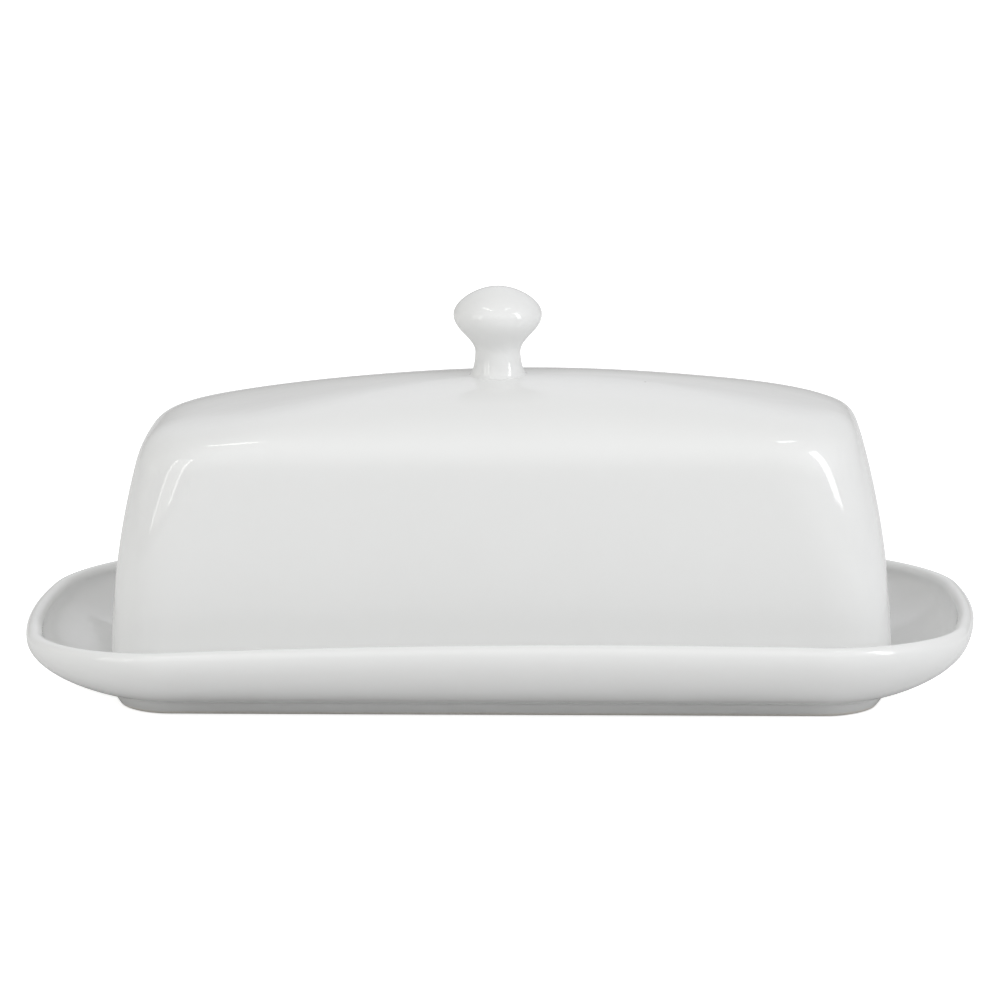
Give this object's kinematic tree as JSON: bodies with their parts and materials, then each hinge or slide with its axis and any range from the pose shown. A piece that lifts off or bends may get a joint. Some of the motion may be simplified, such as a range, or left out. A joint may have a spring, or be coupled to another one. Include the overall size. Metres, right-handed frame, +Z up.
{
  "type": "butter dish",
  "caption": "Oblong covered butter dish in white glazed porcelain: footed tray with a rolled rim, and a domed lift-off lid with a round knob.",
  "frame": {"origin": "on the table, under the middle of the dish", "axes": "+X along the dish's length, +Y across it away from the viewer, +Z up"},
  "size_m": [0.2032, 0.102, 0.0868],
  "materials": {
    "tray_glaze": "clear gloss glaze on white porcelain, bare on the foot ring",
    "lid_glaze": "clear gloss glaze on white porcelain, bare on the lower edge",
    "knob_glaze": "clear gloss glaze on white porcelain"
  },
  "bodies": {
    "tray": {"tray": "tray_glaze"},
    "lid": {"lid": "lid_glaze", "knob": "knob_glaze"}
  },
  "joints": [
    {"name": "lid_lift", "type": "slide", "parent": "tray", "child": "lid", "axis": [0, 0, 1], "range_m": [0, 0.12]}
  ]
}
